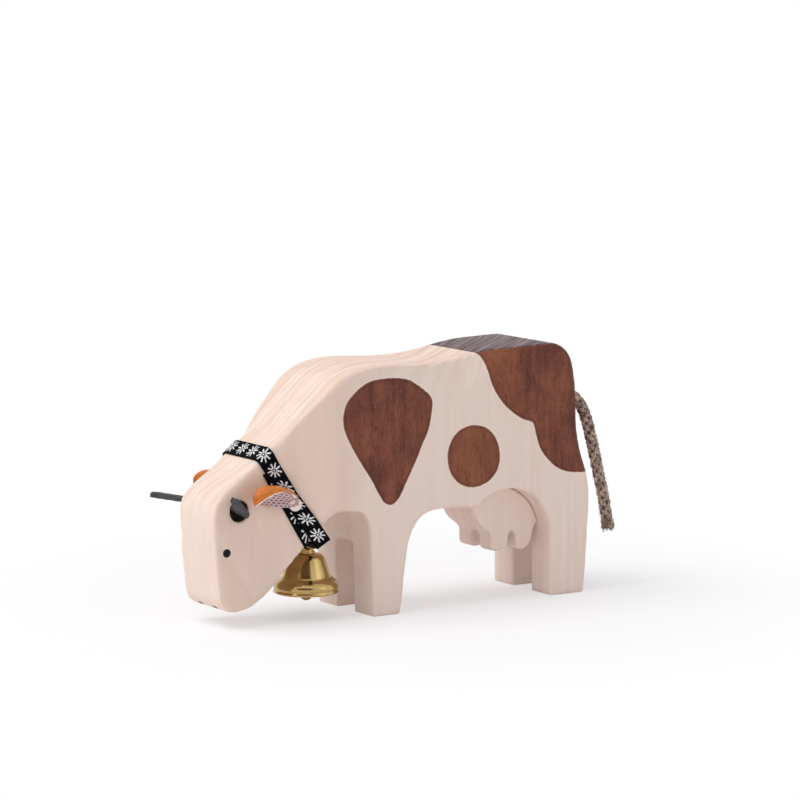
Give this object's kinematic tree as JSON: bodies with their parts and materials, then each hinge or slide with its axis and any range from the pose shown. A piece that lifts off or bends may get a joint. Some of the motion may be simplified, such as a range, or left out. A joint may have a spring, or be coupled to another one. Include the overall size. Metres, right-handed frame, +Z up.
{
  "type": "cow figurine",
  "caption": "Grazing cow carved from a pale wooden board, with leather horns and ears, a flowered ribbon collar, a hanging brass bell and a cord tail.",
  "frame": {"origin": "on the ground under the centre of the figure's box, measured without the cord tail", "axes": "-X towards the cow's nose, +X towards its rump, -Y its left side, +Z up"},
  "size_m": [0.1436, 0.0448, 0.074],
  "materials": {
    "limewood": "sanded, oiled, with reddish brown stained patches",
    "horn_leather": "dyed dark grey, smooth, satin",
    "ear_leather": "tan grain side, pale flesh side",
    "ribbon": "woven ribbon, black with white flowers",
    "bell_brass": "polished",
    "clapper_brass": "satin",
    "cord": "braided cord, matte"
  },
  "bodies": {
    "figure": {"wooden_body": "limewood", "udder": "limewood", "left_horn": "horn_leather", "right_horn": "horn_leather", "left_ear": "ear_leather", "right_ear": "ear_leather", "collar_ribbon": "ribbon", "tail_rope": "cord"},
    "bell": {"bell_shell": "bell_brass", "bell_loop": "bell_brass"},
    "clapper": {"clapper_wire": "clapper_brass", "clapper_ball": "clapper_brass"}
  },
  "joints": [
    {"name": "bell_swing", "type": "hinge", "parent": "figure", "child": "bell", "pos_m": [-0.02714, -0.0038, 0.021], "axis": [0, 1, 0], "range_deg": [-26, 11]},
    {"name": "clapper_swing", "type": "hinge", "parent": "bell", "child": "clapper", "pos_m": [-0.02714, -0.0038, 0.01515], "axis": [0, 1, 0], "range_deg": [-40, 40]}
  ]
}
